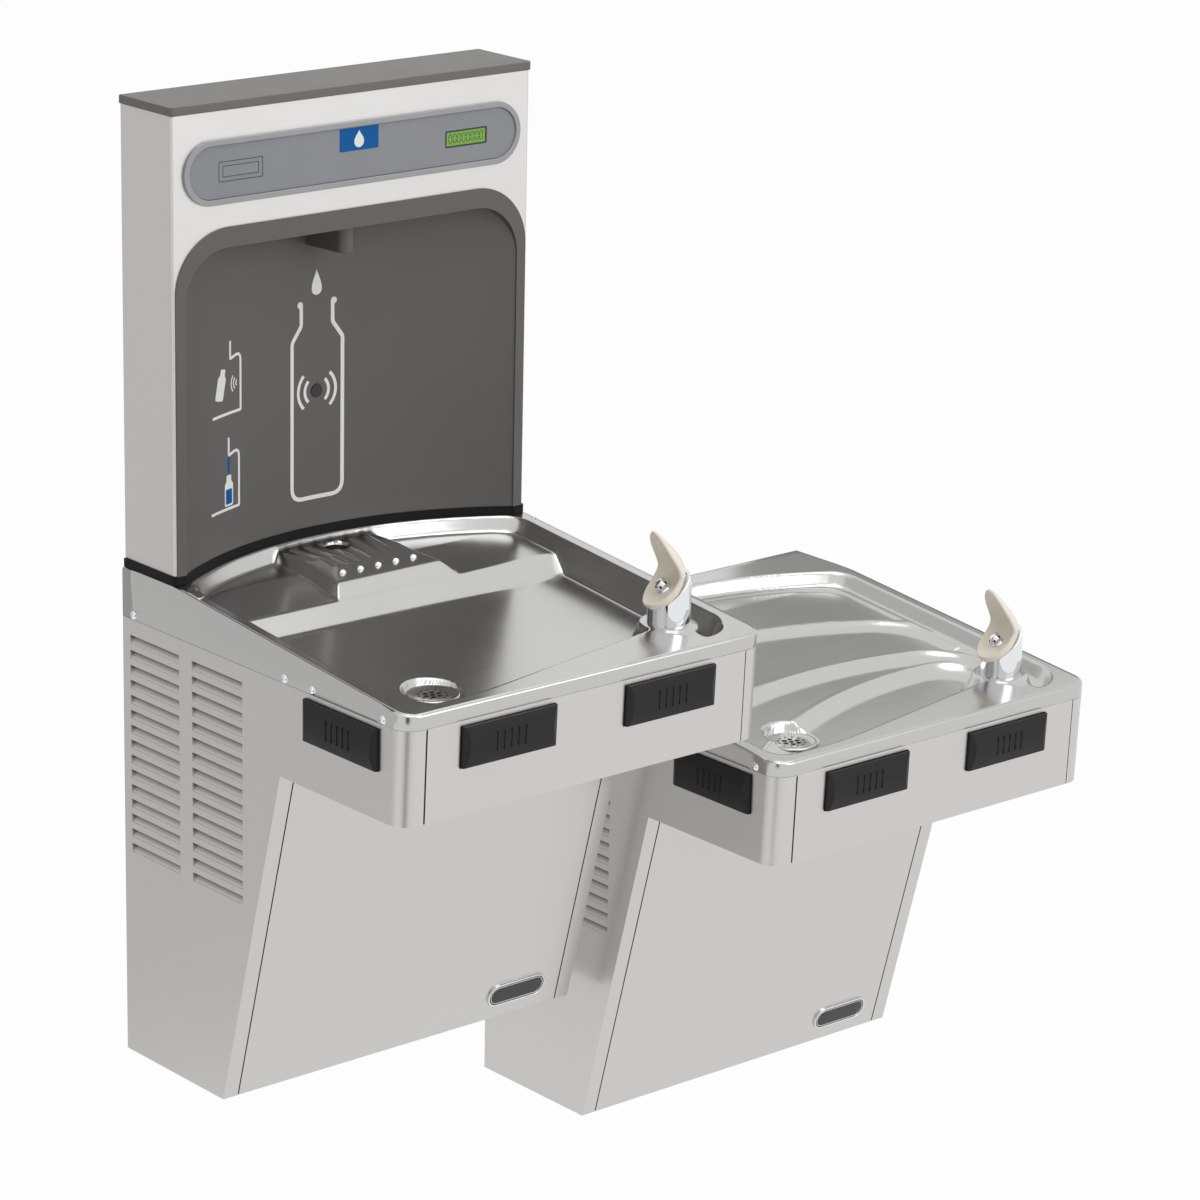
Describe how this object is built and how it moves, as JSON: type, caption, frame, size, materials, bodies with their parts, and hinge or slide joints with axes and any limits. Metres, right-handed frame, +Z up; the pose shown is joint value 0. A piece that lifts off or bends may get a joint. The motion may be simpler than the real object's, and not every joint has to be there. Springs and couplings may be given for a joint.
{
  "type": "bottle filling station",
  "caption": "Wall-hung drinking fountains at a tall and a low height, the tall one topped by a touch-free bottle filler with a curved alcove.",
  "frame": {"origin": "middle of the tall unit's four hanger bolts, on the face of the wall", "axes": "+X along the wall to the user's right, +Y into the wall, +Z up"},
  "size_m": [0.9752, 0.4823, 1.1824],
  "materials": {
    "panel": "fine brushed stainless",
    "filler_panel": "fine satin stainless",
    "basin": "polished stainless with a faint brush",
    "galvanised": "matt zinc",
    "pipe": "smooth white",
    "chrome": "mirror",
    "guard": "soft beige, slightly satin",
    "push_bar": "fine texture",
    "bracket": "satin",
    "tube_brass": "satin copper and brass",
    "compressor": "satin black enamel",
    "fins": "plain",
    "black_plastic": "smooth",
    "tank": "foam jacket",
    "cap": "satin warm grey",
    "gasket": "matt",
    "liner": "satin dark grey",
    "lens": "gloss",
    "bezel": "satin grey",
    "label": "satin blue-grey",
    "display": "lit green screen",
    "box_plastic": "smooth",
    "badge": "satin plate"
  },
  "bodies": {
    "cabinets": {"tall_side_left": "panel", "tall_side_right": "panel", "tall_apron": "panel", "tall_lower_panel": "panel", "tall_chassis": "galvanised", "tall_back_panel": "galvanised", "tall_basin": "basin", "tall_strainer": "basin", "tall_waste_pipe": "pipe", "tall_bubbler_body": "chrome", "tall_bubbler_guard": "guard", "tall_bubbler_nozzle": "chrome", "tall_bar_switches": "bracket", "tall_valve": "tube_brass", "low_side_left": "panel", "low_side_right": "panel", "low_apron": "panel", "low_lower_panel": "panel", "low_chassis": "galvanised", "low_back_panel": "galvanised", "low_basin": "basin", "low_strainer": "basin", "low_waste_pipe": "pipe", "low_bubbler_body": "chrome", "low_bubbler_guard": "guard", "low_bubbler_nozzle": "chrome", "low_bar_switches": "bracket", "low_valve": "tube_brass", "compressor": "compressor", "condenser": "fins", "fan_shroud": "galvanised", "fan_motor": "compressor", "chiller_tank": "tank", "connecting_line": "tube_brass", "filler_case": "filler_panel", "filler_cap": "cap", "filler_back": "galvanised", "filler_gasket": "gasket", "alcove_liner": "liner", "spout": "liner", "sensor_lens": "lens", "label_bezel": "bezel", "label_panel": "label", "display": "display", "solenoid_valve": "black_plastic", "control_box": "box_plastic", "tall_hanger": "galvanised", "low_hanger": "galvanised", "badge_plates": "badge", "case_screws": "chrome"},
    "tall_bar_front_left": {"tall_bar_front_left": "push_bar"},
    "tall_bar_front_right": {"tall_bar_front_right": "push_bar"},
    "tall_bar_side_left": {"tall_bar_side_left": "push_bar"},
    "tall_bar_side_right": {"tall_bar_side_right": "push_bar"},
    "low_bar_front_left": {"low_bar_front_left": "push_bar"},
    "low_bar_front_right": {"low_bar_front_right": "push_bar"},
    "low_bar_side_left": {"low_bar_side_left": "push_bar"},
    "low_bar_side_right": {"low_bar_side_right": "push_bar"},
    "fan": {"fan": "black_plastic"}
  },
  "joints": [
    {"name": "tall_front_left_press", "type": "slide", "parent": "cabinets", "child": "tall_bar_front_left", "axis": [0, 0.9992, 0.0389], "range_m": [0, 0.004], "stiffness_N_per_m": 700, "springref_m": -0.002},
    {"name": "tall_front_right_press", "type": "slide", "parent": "cabinets", "child": "tall_bar_front_right", "axis": [0, 0.9992, 0.0389], "range_m": [0, 0.004], "stiffness_N_per_m": 700, "springref_m": -0.002},
    {"name": "tall_side_left_press", "type": "slide", "parent": "cabinets", "child": "tall_bar_side_left", "axis": [1, 0, 0], "range_m": [0, 0.004], "stiffness_N_per_m": 700, "springref_m": -0.002},
    {"name": "tall_side_right_press", "type": "slide", "parent": "cabinets", "child": "tall_bar_side_right", "axis": [-1, 0, 0], "range_m": [0, 0.004], "stiffness_N_per_m": 700, "springref_m": -0.002},
    {"name": "low_front_left_press", "type": "slide", "parent": "cabinets", "child": "low_bar_front_left", "axis": [0, 0.9992, 0.0389], "range_m": [0, 0.004], "stiffness_N_per_m": 700, "springref_m": -0.002},
    {"name": "low_front_right_press", "type": "slide", "parent": "cabinets", "child": "low_bar_front_right", "axis": [0, 0.9992, 0.0389], "range_m": [0, 0.004], "stiffness_N_per_m": 700, "springref_m": -0.002},
    {"name": "low_side_left_press", "type": "slide", "parent": "cabinets", "child": "low_bar_side_left", "axis": [1, 0, 0], "range_m": [0, 0.004], "stiffness_N_per_m": 700, "springref_m": -0.002},
    {"name": "low_side_right_press", "type": "slide", "parent": "cabinets", "child": "low_bar_side_right", "axis": [-1, 0, 0], "range_m": [0, 0.004], "stiffness_N_per_m": 700, "springref_m": -0.002},
    {"name": "fan_spin", "type": "hinge", "parent": "cabinets", "child": "fan", "pos_m": [-0.188, -0.098, -0.1325], "axis": [1, 0, 0], "continuous": true}
  ]
}
